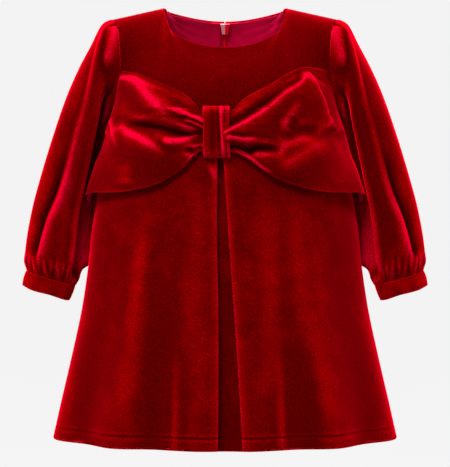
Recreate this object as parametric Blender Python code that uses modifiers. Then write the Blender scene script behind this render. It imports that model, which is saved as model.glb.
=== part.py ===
"""Toddler party dress: velvet bodice, A-line skirt with an inverted box pleat, bishop sleeves and a big bow.

Metres, +Z up, front towards -Y. The origin lies midway between the two shoulder neck points.
Every panel is an open grid of points with a Solidify wall. A point on the dress is named by a face
(front or back), by across (-1 and 1 at the side seams, 0 at the centre) and by down (0 at the top edge,
1 at underarm height, 2 at the hem).
"""

import math
from collections import namedtuple

import bpy
import numpy as np
from mathutils import Matrix

# Driving dimensions
WALL = 0.0015
LINING_WALL = 0.0009
TAPE_WALL = 0.0006
GAP = 0.0003
NECK_HALF = 0.0664
NECK_SHARE = 0.4  # the part of each half's top edge that is neckline
SHOULDER_END = (0.1199, -0.0119)
UNDERARM_Z = -0.120
EMPIRE_Z = -0.145
HEM_Z = -0.460
ARMHOLE_TUCK = 0.0130
LAYER = 0.0008  # room between the layers inside the back
ARMHOLE_BOW = 0.046
SHOULDER_GAP = 0.00035
SIDE_GAP = 0.00055
CUFF_WALL = 0.0020
WING_WALL = 0.0012
ARMHOLE_CLEAR = 0.110  # how far a wing stays inside the armhole, as a share of the half panel
ZIP_END = 1.30  # how far down the zip reaches
SLIT_HALF = 0.0007

# Sections of the body below the underarm
Section = namedtuple("Section", "z half_width front back")
SECTIONS = [
    Section(-0.120, 0.1205, 0.0770, 0.0700),
    Section(-0.160, 0.1285, 0.0810, 0.0740),
    Section(-0.202, 0.1372, 0.0860, 0.0785),
    Section(-0.235, 0.1430, 0.0905, 0.0825),
    Section(-0.282, 0.1480, 0.0965, 0.0880),
    Section(-0.325, 0.1545, 0.1020, 0.0930),
    Section(-0.368, 0.1636, 0.1080, 0.0980),
    Section(-0.422, 0.1760, 0.1150, 0.1040),
    Section(-0.460, 0.1845, 0.1200, 0.1085),
]

# Soft folds of the skirt, the same left and right: degrees from the centre, and height at the hem
Fold = namedtuple("Fold", "face at width height start_z")
FOLDS = [
    Fold("front", 8, 6, 0.0030, -0.20),
    Fold("front", 36, 9, 0.0065, -0.20),
    Fold("front", 25, 7, -0.0045, -0.24),
    Fold("front", 54, 10, -0.0050, -0.22),
    Fold("front", 72, 9, 0.0030, -0.22),
    Fold("back", 14, 8, 0.0050, -0.22),
    Fold("back", 29, 8, -0.0045, -0.24),
    Fold("back", 44, 10, 0.0060, -0.20),
    Fold("back", 62, 9, -0.0045, -0.22),
]

Face = namedtuple("Face", "name sign neck_depth neck_drop neck_power neck_out neck_fall")
FRONT = Face("front", -1, 0.055, 0.0481, 0.88, 0.012, 0.022)
BACK = Face("back", 1, 0.043, 0.0070, 3.0, 0.018, 0.024)

# The sleeve from armhole to cuff: outer and inner line seen from the front, half depth, shift and skew
Ring = namedtuple("Ring", "along outer_x outer_z inner_x inner_z half_depth centre_y skew")
SLEEVE = [
    Ring(0.04, 0.1245, -0.0119, 0.1240, -0.1208, 0.0372, 0.000, 0.000),
    Ring(0.10, 0.1330, -0.0180, 0.1295, -0.1285, 0.0400, 0.000, 0.000),
    Ring(0.18, 0.1439, -0.0400, 0.1325, -0.1410, 0.0410, 0.000, 0.003),
    Ring(0.30, 0.1562, -0.0647, 0.1365, -0.1590, 0.0400, 0.000, 0.007),
    Ring(0.43, 0.1690, -0.0960, 0.1405, -0.1800, 0.0380, -0.001, 0.010),
    Ring(0.57, 0.1825, -0.1370, 0.1450, -0.2050, 0.0360, -0.002, 0.011),
    Ring(0.71, 0.1960, -0.1830, 0.1485, -0.2280, 0.0345, -0.004, 0.010),
    Ring(0.83, 0.2060, -0.2190, 0.1510, -0.2500, 0.0330, -0.007, 0.007),
    Ring(0.92, 0.2125, -0.2530, 0.1525, -0.2730, 0.0315, -0.010, 0.004),
    Ring(0.97, 0.2140, -0.2700, 0.1545, -0.2860, 0.0280, -0.011, 0.002),
    Ring(1.00, 0.2125, -0.2813, 0.1595, -0.2968, 0.0215, -0.012, 0.000),
]
CUFF = [
    Ring(0.0, 0.2130, -0.2822, 0.1602, -0.2978, 0.0220, -0.012, 0.000),
    Ring(0.5, 0.2148, -0.2900, 0.1632, -0.3058, 0.0222, -0.013, 0.000),
    Ring(1.0, 0.2163, -0.2985, 0.1660, -0.3140, 0.0224, -0.014, 0.000),
]
# The sleeve's long folds: degrees round from the outer line through the front, depth in metres
SleeveFold = namedtuple("SleeveFold", "at width height start end")
SLEEVE_FOLDS = [
    SleeveFold(164, 22, -0.0135, 0.16, 0.98),
    SleeveFold(222, 24, 0.0095, 0.20, 0.99),
    SleeveFold(112, 16, 0.0030, 0.05, 0.95),
    SleeveFold(70, 14, -0.0035, 0.45, 0.98),
    SleeveFold(300, 14, -0.0045, 0.30, 0.95),
]

# The bow's wings: across the panel, top and bottom edge heights, and how far each stands off
Station = namedtuple("Station", "across top bottom off_top off_upper off_lower off_bottom")
WING_LEFT = [
    Station(0.050, -0.1185, -0.1580, 0.0026, 0.0060, 0.0060, 0.0026),
    Station(0.125, -0.1165, -0.1585, 0.0028, 0.0095, 0.0090, 0.0028),
    Station(0.200, -0.1025, -0.1755, 0.0034, 0.0130, 0.0120, 0.0038),
    Station(0.320, -0.0920, -0.1915, 0.0034, 0.0145, 0.0130, 0.0048),
    Station(0.450, -0.0840, -0.1982, 0.0034, 0.0135, 0.0125, 0.0055),
    Station(0.620, -0.0760, -0.2010, 0.0034, 0.0100, 0.0105, 0.0062),
    Station(0.800, -0.0728, -0.2010, 0.0034, 0.0050, 0.0085, 0.0085),
    Station(0.900, -0.0718, -0.2035, 0.0034, 0.0030, 0.0080, 0.0120),
    Station(0.955, -0.0715, -0.2070, 0.0034, 0.0025, 0.0070, 0.0125),
    Station(0.985, -0.0715, -0.2130, 0.0034, 0.0025, 0.0040, 0.0065),
]
WING_RIGHT = [
    Station(-0.020, -0.1190, -0.1590, 0.0026, 0.0060, 0.0060, 0.0026),
    Station(0.030, -0.1175, -0.1600, 0.0028, 0.0095, 0.0090, 0.0028),
    Station(0.090, -0.1062, -0.1645, 0.0034, 0.0130, 0.0120, 0.0038),
    Station(0.230, -0.0918, -0.1850, 0.0034, 0.0145, 0.0130, 0.0048),
    Station(0.400, -0.0764, -0.1970, 0.0034, 0.0135, 0.0125, 0.0055),
    Station(0.580, -0.0695, -0.2010, 0.0034, 0.0100, 0.0105, 0.0062),
    Station(0.800, -0.0700, -0.2010, 0.0034, 0.0050, 0.0085, 0.0085),
    Station(0.900, -0.0712, -0.2035, 0.0034, 0.0030, 0.0080, 0.0120),
    Station(0.955, -0.0715, -0.2070, 0.0034, 0.0025, 0.0070, 0.0125),
    Station(0.985, -0.0715, -0.2130, 0.0034, 0.0025, 0.0040, 0.0065),
]
KNOT_CENTRE_X = -0.0085
KNOT_HALF_WIDTH = 0.0134
KNOT_TOP_Z = -0.1115
KNOT_BOTTOM_Z = -0.1655
KNOT_FOOT = 0.0013
KNOT_RISE = 0.0120

# The inverted pleat: left and right fold edge, and how deep the underlay lies, from seam to hem
Pleat = namedtuple("Pleat", "z left right underlay")
PLEAT = [
    Pleat(-0.145, -0.0098, -0.0010, 0.0072),
    Pleat(-0.235, -0.0104, 0.0053, 0.0085),
    Pleat(-0.320, -0.0088, 0.0112, 0.0105),
    Pleat(-0.400, -0.0086, 0.0163, 0.0125),
    Pleat(-0.460, -0.0090, 0.0196, 0.0140),
]
PLEAT_WIDTH = 0.024
FOLD_RADIUS = 0.0021
INNER_FOLD = 0.0022

VELVET = ("velvet", (0.150, 0.0, 0.004), 0.85, 0.0)
CRIMSON = ("lining_cloth", (0.42, 0.0, 0.026), 0.55, 0.0)
TAPE = ("zip_tape_cloth", (0.33, 0.004, 0.02), 0.70, 0.0)
ENAMEL = ("zip_enamel", (0.40, 0.01, 0.03), 0.35, 0.3)


def through(rows, column, at):
    """A smooth curve through one column of a table, against the table's first column."""
    xs = np.array([row[0] for row in rows])
    ys = np.array([getattr(row, column) for row in rows])
    if xs[0] > xs[-1]:
        xs, ys = xs[::-1], ys[::-1]
    step = np.diff(xs)
    slope = np.diff(ys) / step
    inner = np.where(slope[1:] * slope[:-1] > 0, (slope[1:] + slope[:-1]) / 2, 0.0)
    tangent = np.concatenate([[slope[0]], inner, [slope[-1]]])
    at = np.clip(at, xs[0], xs[-1])
    k = np.clip(np.searchsorted(xs, at) - 1, 0, len(step) - 1)
    t = (at - xs[k]) / step[k]
    start = (1 + 2 * t) * (1 - t) ** 2 * ys[k] + t * (1 - t) ** 2 * step[k] * tangent[k]
    end = t**2 * (3 - 2 * t) * ys[k + 1] + t**2 * (t - 1) * step[k] * tangent[k + 1]
    return start + end


def bump(distance, width):
    """A soft hump, 1 at its middle."""
    return np.exp(-((distance / width) ** 2))


def down_to_z(down):
    """Height of a row below the underarm."""
    return UNDERARM_Z + (down - 1) * (HEM_Z - UNDERARM_Z)


def z_to_down(z):
    """Row below the underarm at a height."""
    return 1 + (z - UNDERARM_Z) / (HEM_Z - UNDERARM_Z)


def section_point(face, across, z):
    """A point of the skirt: an ellipse's arc with the soft folds added along its normal."""
    angle = across * math.pi / 2
    fold = np.zeros(np.broadcast(across, z).shape)
    for f in FOLDS:
        if f.face == face.name:
            fall = np.clip((f.start_z - z) / (f.start_z - HEM_Z), 0, 1) ** 1.4
            fold = fold + f.height * fall * bump(np.abs(across) * 90 - f.at, f.width)
    x = (through(SECTIONS, "half_width", z) + fold) * np.sin(angle)
    depth = (through(SECTIONS, face.name, z) + fold) * np.cos(angle)
    return np.stack(np.broadcast_arrays(x, face.sign * depth, z), axis=-1)


def top_edge(face, across):
    """The neckline's arc and then the straight shoulder seam."""
    side = np.abs(across)
    turn = np.clip(side / NECK_SHARE, 0, 1) * math.pi / 2
    seam = np.clip((side - NECK_SHARE) / (1 - NECK_SHARE), 0, 1)
    x = NECK_HALF * np.sin(turn) + seam * (SHOULDER_END[0] - NECK_HALF)
    z = seam * SHOULDER_END[1] - face.neck_drop * np.cos(turn) ** face.neck_power
    depth = face.neck_depth * np.cos(turn) + SHOULDER_GAP
    return np.stack([np.sign(across) * x, face.sign * depth, z], axis=-1)


def panel_point(face, across, down):
    """A point of the dress: Bezier columns from top edge to underarm, skirt sections below it."""
    across, down = np.broadcast_arrays(np.asarray(across, float), np.asarray(down, float))
    side = np.abs(across)
    seam = np.clip((side - NECK_SHARE) / (1 - NECK_SHARE), 0, 1)
    neck = 1 - np.clip((side - 0.12) / 0.30, 0, 1)
    neck = neck * neck * (3 - 2 * neck)
    top = top_edge(face, across)
    low = section_point(face, across, np.full(across.shape, UNDERARM_Z))
    out_top = neck * face.neck_out + (1 - neck) * 0.031 + (ARMHOLE_BOW - 0.031) * seam**2
    out_low = 0.002 + (ARMHOLE_BOW - 0.003) * side**4
    rise = 0.016 + 0.029 * (1 - side**6)
    tuck = -ARMHOLE_TUCK / SHOULDER_END[0]
    upper = top + np.stack([tuck * top[..., 0], face.sign * out_top, -neck * face.neck_fall], axis=-1)
    lower = low + np.stack([tuck * low[..., 0], face.sign * out_low, rise], axis=-1)
    t = np.clip(down, 0, 1)[..., None]
    bodice = (1 - t) ** 3 * top + 3 * (1 - t) ** 2 * t * upper
    bodice = bodice + 3 * (1 - t) * t**2 * lower + t**3 * low
    skirt = section_point(face, across, down_to_z(np.clip(down, 1, 2)))
    return np.where((down > 1)[..., None], skirt, bodice)


def panel_normal(face, across, down):
    """The outward direction of the dress at a point, from its slopes."""
    step = 0.004
    right = panel_point(face, across + step, down) - panel_point(face, across - step, down)
    fall = panel_point(face, across, np.minimum(down + step, 2))
    fall = fall - panel_point(face, across, np.maximum(down - step, 0))
    normal = np.cross(fall, right) * -face.sign
    return normal / np.maximum(np.linalg.norm(normal, axis=-1, keepdims=True), 1e-12)


def moved_out(face, across, down, distance):
    """Points of the dress moved out from it, or in where the distance is negative."""
    distance = np.asarray(distance)[..., None]
    return panel_point(face, across, down) + panel_normal(face, across, down) * distance


def down_at(face, across, z):
    """The row at which a column of the dress passes a height."""
    rows = np.linspace(0, 2, 401)
    found = np.zeros(across.shape)
    for i, (a, height) in enumerate(zip(across.ravel(), z.ravel())):
        column = panel_point(face, np.full(rows.shape, a), rows)[:, 2]
        found.ravel()[i] = np.interp(-height, -column, rows)
    return found


def material(spec):
    name, colour, roughness, metallic = spec
    made = bpy.data.materials.get(name)
    if made is None:
        made = bpy.data.materials.new(name)
        made.use_nodes = True
        shader = made.node_tree.nodes["Principled BSDF"]
        shader.inputs["Base Color"].default_value = (*colour, 1)
        shader.inputs["Roughness"].default_value = roughness
        shader.inputs["Metallic"].default_value = metallic
        made.diffuse_color = (*colour, 1)
    return made


def add_mesh(name, points, faces, spec):
    mesh = bpy.data.meshes.new(name)
    mesh.from_pydata([tuple(p) for p in points], [], faces)
    mesh.shade_smooth()
    mesh.materials.append(material(spec))
    made = bpy.data.objects.new(name, mesh)
    bpy.data.collections["toddler_party_dress"].objects.link(made)
    return made


def add_sheet(name, grid, wall, spec, closed=False):
    """A cloth piece: a grid of points, rows down and columns to the left of its outside, with a wall."""
    rows, columns = grid.shape[:2]
    faces = []
    for i in range(rows - 1):
        for j in range(columns if closed else columns - 1):
            k = (j + 1) % columns
            a, b = i * columns, (i + 1) * columns
            faces.append((a + j, b + j, b + k, a + k))
    made = add_mesh(name, grid.reshape(-1, 3), faces, spec)
    solid = made.modifiers.new("wall", "SOLIDIFY")
    solid.thickness = wall
    solid.offset = -1
    return made


def add_block(name, size, place, spec):
    """A plain block of a size about a place given as a 4x4 frame."""
    half = np.array(size) / 2
    corners = [(x, y, z) for x in (-1, 1) for y in (-1, 1) for z in (-1, 1)]
    points = [tuple(half * c) for c in corners]
    faces = [(0, 1, 3, 2), (4, 6, 7, 5), (0, 4, 5, 1), (2, 3, 7, 6), (0, 2, 6, 4), (1, 5, 7, 3)]
    made = add_mesh(name, points, faces, spec)
    made.matrix_world = place
    return made


def front_bodice():
    across = np.linspace(-1, 1, 23)
    down = np.concatenate([[0, 0.03, 0.10], np.linspace(0.22, 1, 6), [z_to_down(EMPIRE_Z)]])
    grid = panel_point(FRONT, across[None, :], down[:, None])
    add_sheet("front_bodice", grid, WALL, VELVET)


def pleat_row(z):
    """One half of the pleat's path at a height, from the fold edge to the underlay's middle."""
    r, deep = FOLD_RADIUS, through(PLEAT, "underlay", z)
    inner = PLEAT_WIDTH
    turn = [(math.sin(a) * r, r - math.cos(a) * r) for a in np.radians([0, 45, 90, 135, 180])]
    back = deep - INNER_FOLD
    bend = INNER_FOLD / 2
    path = turn + [(-inner / 2, (2 * r + back) / 2)]
    path += [(-inner - math.sin(a) * bend, back + bend - math.cos(a) * bend) for a in np.radians([0, 60, 120, 180])]
    return path + [(-inner / 2, deep)]


def skirt_front():
    """One wall folded in and out again: side, fold edge, return, underlay, return, fold edge, side."""
    top_z = EMPIRE_Z - GAP
    heights = np.concatenate([[top_z], np.linspace(-0.19, HEM_Z, 8)])
    rows = []
    for z in heights:
        half = float(through(SECTIONS, "half_width", z))
        row = []
        for side, edge in ((-1, float(through(PLEAT, "left", z))), (1, float(through(PLEAT, "right", z)))):
            end = math.asin(abs(edge) / half) / (math.pi / 2) * np.sign(edge) * side
            plain = np.linspace(1, end, 12)[:-1] * side
            points = [panel_point(FRONT, a, z_to_down(z)) for a in plain]
            for along, deep in pleat_row(z):
                a = math.asin((edge - side * along) / half) / (math.pi / 2)
                points.append(moved_out(FRONT, np.array(a), np.array(z_to_down(z)), -deep))
            row.append(points)
        middle = (row[0][-1] + row[1][-1]) / 2
        rows.append(row[0] + [middle] + row[1][::-1])
    add_sheet("skirt_front", np.array(rows), WALL, VELVET)


def back_columns(name, count):
    """Columns of one back half, running to the left of its outside."""
    sign = 1 if name == "right" else -1
    across = np.linspace(1, 0.002, count) * sign
    return across if sign > 0 else across[::-1]


def keep_slit(grid, name, half):
    """Sets the centre edge of a back piece beside the zip or the centre seam."""
    column = -1 if name == "right" else 0
    sign = 1 if name == "right" else -1
    grid[:, column, 0] = sign * half
    return grid


def back_panel(name):
    across = back_columns(name, 12)
    down = np.concatenate([[0, 0.03, 0.10], np.linspace(0.22, 1, 5), np.linspace(1.15, 2, 6)])
    grid = panel_point(BACK, across[None, :], down[:, None])
    grid[:, 0 if name == "right" else -1, 1] += SIDE_GAP
    half = np.where(down < ZIP_END + 0.02, SLIT_HALF, GAP / 2)
    add_sheet("back_" + name, keep_slit(grid, name, half), WALL, VELVET)


def back_lining(name):
    sign = 1 if name == "right" else -1
    across = np.linspace(0.76, 0.02, 8) * sign
    across = across if sign > 0 else across[::-1]
    down = np.concatenate([[0.022, 0.05, 0.12], np.linspace(0.25, 0.75, 4)])
    grid = moved_out(BACK, *np.meshgrid(across, down), -(WALL + TAPE_WALL + 2 * LAYER))
    keep_slit(grid, name, 0.0040)
    add_sheet("back_lining_" + name, grid, LINING_WALL, CRIMSON)


def zip_tape(name):
    sign = 1 if name == "right" else -1
    down = np.concatenate([[0.012, 0.05, 0.12], np.linspace(0.25, ZIP_END, 8)])
    across = np.array([0.06, 0.03, 0.004]) * sign
    across = across if sign > 0 else across[::-1]
    grid = moved_out(BACK, *np.meshgrid(across, down), -(WALL + LAYER))
    keep_slit(grid, name, SLIT_HALF)
    add_sheet("zip_tape_" + name, grid, TAPE_WALL, TAPE)


def zip_coil(first_down):
    down = np.linspace(first_down, ZIP_END, 12)
    centre = moved_out(BACK, np.zeros(down.shape), down, -(WALL + TAPE_WALL + 2 * LAYER))
    half = np.array([0.0012, 0.0, -0.0012])
    grid = centre[:, None, :] + half[None, :, None] * np.array([1, 0, 0])
    add_sheet("zip_coil", grid, 0.0011, TAPE)


def zip_frame():
    """The slider's frame: X across, Y out of the back, Z up along it."""
    down = float(down_at(BACK, np.array([0.0]), np.array([-0.0125]))[0])
    origin = panel_point(BACK, 0.0, down)
    out = panel_normal(BACK, np.array(0.0), np.array(down))
    up = np.cross([1, 0, 0], out)
    frame = Matrix.Identity(4)
    for i, axis in enumerate(([1, 0, 0], out, up)):
        for j in range(3):
            frame[j][i] = axis[j]
    for j in range(3):
        frame[j][3] = origin[j]
    return frame


def join(first, others):
    """Fuses closed pieces into one solid."""
    for other in others:
        cut = first.modifiers.new("join", "BOOLEAN")
        cut.operation = "UNION"
        cut.object = other
    made = bpy.data.meshes.new_from_object(first.evaluated_get(bpy.context.evaluated_depsgraph_get()))
    first.modifiers.clear()
    first.data = made
    for other in others:
        bpy.data.objects.remove(other)
    return first


def zip_slider(frame):
    """A body inside the back, a thin neck through the slit, a crown outside and a bail that holds the tab."""
    inside = -(WALL + TAPE_WALL + LINING_WALL + 2 * LAYER + 2 * GAP)
    body_y = inside - 0.0011
    crown_y = GAP + 0.0005
    bail_y = 0.0042
    parts = [
        ("slider_neck", (2 * (SLIT_HALF - GAP), crown_y - body_y, 0.0040), (0, (crown_y + body_y) / 2, 0.001)),
        ("slider_crown", (0.0034, 0.0010, 0.0080), (0, crown_y, 0.0)),
        ("slider_bail_top", (0.0018, bail_y, 0.0009), (0, crown_y + bail_y / 2 - 0.0002, 0.0033)),
        ("slider_bail_foot", (0.0018, bail_y, 0.0009), (0, crown_y + bail_y / 2 - 0.0002, -0.0033)),
        ("slider_bail", (0.0018, 0.0009, 0.0075), (0, crown_y + bail_y - 0.0004, 0.0)),
    ]
    body = add_block("zip_slider", (0.0100, 0.0022, 0.0120), frame @ Matrix.Translation((0, body_y, 0)), ENAMEL)
    taper = body.data
    for vertex in taper.vertices:
        if vertex.co.z < 0:
            vertex.co.x *= 0.62
    others = [add_block(n, s, frame @ Matrix.Translation(p), ENAMEL) for n, s, p in parts]
    bpy.context.view_layer.update()
    join(body, others)


def pull_tab(frame):
    """A flat drop with an eye whose cross bar lies in the slider's bail; its origin is on the hinge."""
    pin_y = 0.0027
    pin = frame @ Matrix.Translation((0, pin_y, -0.0016))
    thick = 0.0011
    shapes = [
        ("tab_leg_left", (0.0012, thick, 0.0062), (-0.0022, 0, -0.0026)),
        ("tab_leg_right", (0.0012, thick, 0.0062), (0.0022, 0, -0.0026)),
        ("tab_plate", (0.0062, thick, 0.0150), (0, 0, -0.0128)),
    ]
    bar = add_block("zip_pull_tab", (0.0050, thick, 0.0011), pin, ENAMEL)
    others = [add_block(n, s, pin @ Matrix.Translation(p), ENAMEL) for n, s, p in shapes]
    bpy.context.view_layer.update()
    join(bar, others)


def ring_point(rows, along, turn, sign):
    """A point of a sleeve or cuff: turn runs from the outer line through the front to the inner line."""
    value = {c: through(rows, c, along) for c in Ring._fields[1:]}
    p, q = np.cos(turn), -np.sin(turn)
    middle_x = (value["outer_x"] + value["inner_x"]) / 2
    middle_z = (value["outer_z"] + value["inner_z"]) / 2
    half_x = (value["outer_x"] - value["inner_x"]) / 2
    half_z = (value["outer_z"] - value["inner_z"]) / 2
    size = np.maximum(np.hypot(half_x, half_z), 1e-6)
    lean = -value["skew"] * q / size
    x = middle_x + half_x * (p + lean)
    z = middle_z + half_z * (p + lean)
    y = value["centre_y"] + value["half_depth"] * q
    return np.stack([sign * x, y, z], axis=-1)


def armhole_ring(turn, sign):
    """The armhole's edge, from the shoulder end down the front and up the back."""
    front = turn <= math.pi
    down = np.where(front, turn / math.pi, 2 - turn / math.pi)
    ends = np.full(turn.shape, float(sign))
    edge = np.where(front[..., None], panel_point(FRONT, ends, down), panel_point(BACK, ends, down))
    low = bump(turn - math.pi, 0.9)[..., None]
    return edge + np.array([sign, 0, 0]) * (2 * GAP + 4 * GAP * low)


def sleeve(name):
    sign = 1 if name == "right" else -1
    turn = np.linspace(0, 2 * math.pi, 25)[:-1]
    alongs = np.concatenate([[0.04, 0.10, 0.18], np.linspace(0.28, 0.92, 6), [0.97, 1.0]])
    rows = [armhole_ring(turn, sign)]
    for along in alongs:
        ring = ring_point(SLEEVE, along, turn, sign)
        centre = ring.mean(axis=0)
        spoke = ring - centre
        spoke = spoke / np.linalg.norm(spoke, axis=1, keepdims=True)
        for fold in SLEEVE_FOLDS:
            share = np.clip((along - fold.start) / (fold.end - fold.start), 0, 1)
            size = fold.height * math.sin(math.pi * share) ** 0.7
            ring = ring + spoke * (size * bump(np.degrees(turn) - fold.at, fold.width))[:, None]
        rows.append(ring)
    grid = np.array(rows)
    grid = grid[:, ::-1] if sign > 0 else grid
    add_sheet("sleeve_" + name, grid[:, ::-1], WALL, VELVET, closed=True)


def cuff(name):
    sign = 1 if name == "right" else -1
    turn = np.linspace(0, 2 * math.pi, 21)[:-1]
    grid = np.array([ring_point(CUFF, along, turn, sign) for along in (0, 0.5, 1)])
    grid = grid[:, ::-1] if sign > 0 else grid
    add_sheet("cuff_" + name, grid[:, ::-1], CUFF_WALL, VELVET, closed=True)


def wing_grid(stations, sign):
    """Points of one wing: rows from top edge to bottom edge, columns from the knot to the side seam."""
    last = stations[-1].across
    reach, share = np.meshgrid(np.linspace(stations[0].across, last, 17), np.linspace(0, 1, 8))
    top = through(stations, "top", reach)
    bottom = through(stations, "bottom", reach)
    z = top + (bottom - top) * share
    off = np.zeros(share.shape)
    weights = ((1 - share) ** 3, 3 * (1 - share) ** 2 * share, 3 * (1 - share) * share**2, share**3)
    for column, weight in zip(("off_top", "off_upper", "off_lower", "off_bottom"), weights):
        off = off + through(stations, column, reach) * weight
    below = np.clip((share - 0.40) / 0.16, 0, 1)
    reach = reach - (1 - below) * ARMHOLE_CLEAR * np.clip(reach / last, 0, 1) ** 4
    down = down_at(FRONT, reach * sign, z)
    return moved_out(FRONT, reach * sign, down, off + WALL)


def sunk(grid, distance):
    """A sheet moved along its own normals, to its inner side."""
    fall = np.gradient(grid, axis=0)
    right = np.gradient(grid, axis=1)
    normal = np.cross(fall, right)
    return grid - normal / np.linalg.norm(normal, axis=-1, keepdims=True) * distance


def wing(name):
    sign, stations = (1, WING_RIGHT) if name == "right" else (-1, WING_LEFT)
    outer = wing_grid(stations, sign)
    if sign < 0:
        outer = outer[:, ::-1]
    add_sheet("bow_wing_" + name, outer, WING_WALL, VELVET)
    add_sheet("bow_lining_" + name, sunk(outer, WING_WALL + 2 * GAP), LINING_WALL, CRIMSON)


def knot():
    """The band round the bow's middle: an arch across its width that closes to the dress top and bottom."""
    across = np.linspace(-1, 1, 7)
    along = np.sin(np.linspace(-math.pi / 2, math.pi / 2, 11))
    u, v = np.meshgrid(across, along)
    x = KNOT_CENTRE_X + KNOT_HALF_WIDTH * u
    z = (KNOT_TOP_Z + KNOT_BOTTOM_Z) / 2 - v * (KNOT_TOP_Z - KNOT_BOTTOM_Z) / 2
    half = through(SECTIONS, "half_width", z)
    reach = np.arcsin(x / half) / (math.pi / 2)
    arch = (1 - np.abs(v) ** 6) ** 0.5
    rise = KNOT_FOOT + (KNOT_RISE - KNOT_FOOT - 0.0012 * u**2) * arch
    grid = moved_out(FRONT, reach, down_at(FRONT, reach, z), rise)
    add_sheet("bow_knot", grid, WALL, VELVET)


def main():
    for old in list(bpy.data.objects):
        bpy.data.objects.remove(old)
    dress = bpy.data.collections.new("toddler_party_dress")
    bpy.context.scene.collection.children.link(dress)
    front_bodice()
    skirt_front()
    for name in ("left", "right"):
        back_panel(name)
        back_lining(name)
        sleeve(name)
        cuff(name)
        wing(name)
        zip_tape(name)
    knot()
    frame = zip_frame()
    coil_start = float(down_at(BACK, np.array([0.0]), np.array([-0.0235]))[0])
    zip_coil(coil_start)
    zip_slider(frame)
    pull_tab(frame)


main()
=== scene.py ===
"""Toddler party dress: the looks of a red velvet dress with a wide bow, an inverted pleat and bishop sleeves.

Metres, +Z up, front towards -Y. "left" is -X, the viewer's left from the front. A point on the dress is named
by a face (front or back), by across (-1 and 1 at the side seams, 0 at the centre) and by down (0 at the top
edge, 1 at underarm height, 2 at the hem). Every cloth piece is a grid of points, rows down and columns to the
right as seen from outside, so that its faces point outwards, and it gets its thickness from a wall.
"""

import math
from collections import namedtuple

import bpy
import numpy as np
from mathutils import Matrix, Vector


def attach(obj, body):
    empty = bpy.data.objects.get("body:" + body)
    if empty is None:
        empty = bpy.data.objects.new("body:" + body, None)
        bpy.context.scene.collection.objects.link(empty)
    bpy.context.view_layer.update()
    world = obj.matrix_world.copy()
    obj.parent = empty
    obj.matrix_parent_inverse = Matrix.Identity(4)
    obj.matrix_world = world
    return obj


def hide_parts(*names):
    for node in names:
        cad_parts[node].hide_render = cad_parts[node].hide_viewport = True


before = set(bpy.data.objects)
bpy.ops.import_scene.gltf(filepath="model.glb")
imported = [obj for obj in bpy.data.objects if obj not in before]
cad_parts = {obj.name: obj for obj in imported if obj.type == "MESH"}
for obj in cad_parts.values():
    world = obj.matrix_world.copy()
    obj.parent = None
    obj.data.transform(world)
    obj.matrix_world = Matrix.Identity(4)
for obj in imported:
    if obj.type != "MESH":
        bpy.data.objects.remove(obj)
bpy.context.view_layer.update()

# The dress's own sizes, the same as the solid part's
WALL = 0.0015
GAP = 0.0003
NECK_HALF = 0.0664
NECK_SHARE = 0.4
SHOULDER_END = (0.1199, -0.0119)
UNDERARM_Z = -0.120
EMPIRE_Z = -0.145
HEM_Z = -0.460
ARMHOLE_TUCK = 0.0130
ARMHOLE_BOW = 0.046
SHOULDER_GAP = 0.00035
LAYER = 0.0008
TAPE_WALL = 0.0006
ARMHOLE_CLEAR = 0.110
ZIP_END = 1.30
SLIT_HALF = 0.0007

# The visible cloth: walls, turned edges, the hem's stitched line and the neckline's share of the top edge
VELVET_WALL = 0.0008
BOW_WALL = 0.0006
NECK_LINING_WALL = 0.0005
BOW_LINING_WALL = 0.0004
HEM_RADIUS = 0.0011
HEM_TURNING = 0.010
STITCH_Z = -0.4470
STITCH_DEPTH = 0.00025
STITCH_WIDTH = 0.0011
HEM_ROWS = [(-0.4445, 4), (-0.4495, 7), (-0.459, 6), (HEM_Z, 2)]
NECKLINE = (0.36, 0.05)
LINING_EDGE_X = 0.0040
LINING_TOP_Z = -0.0018
TURN_LENGTH = 0.00058  # metres round a sleeve for each degree
SLEEVE_LENGTH = 0.30

# Sections of the body below the underarm
Section = namedtuple("Section", "z half_width front back")
SECTIONS = [
    Section(-0.120, 0.1205, 0.0770, 0.0700),
    Section(-0.160, 0.1285, 0.0810, 0.0740),
    Section(-0.202, 0.1372, 0.0860, 0.0785),
    Section(-0.235, 0.1430, 0.0905, 0.0825),
    Section(-0.282, 0.1480, 0.0965, 0.0880),
    Section(-0.325, 0.1545, 0.1020, 0.0930),
    Section(-0.368, 0.1636, 0.1080, 0.0980),
    Section(-0.422, 0.1760, 0.1150, 0.1040),
    Section(-0.460, 0.1845, 0.1200, 0.1085),
]

# Soft folds of the skirt: degrees from the centre, and height at the hem
Fold = namedtuple("Fold", "face at width height start_z")
FOLDS = [
    Fold("front", 8, 6, 0.0030, -0.20),
    Fold("front", 36, 9, 0.0065, -0.20),
    Fold("front", 25, 7, -0.0045, -0.24),
    Fold("front", 54, 10, -0.0050, -0.22),
    Fold("front", 72, 9, 0.0030, -0.22),
    Fold("back", 14, 8, 0.0050, -0.22),
    Fold("back", 29, 8, -0.0045, -0.24),
    Fold("back", 44, 10, 0.0060, -0.20),
    Fold("back", 62, 9, -0.0045, -0.22),
]

Face = namedtuple("Face", "name sign neck_depth neck_drop neck_power neck_out neck_fall")
FRONT = Face("front", -1, 0.055, 0.0481, 0.88, 0.012, 0.022)
BACK = Face("back", 1, 0.043, 0.0070, 3.0, 0.018, 0.024)

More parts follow.
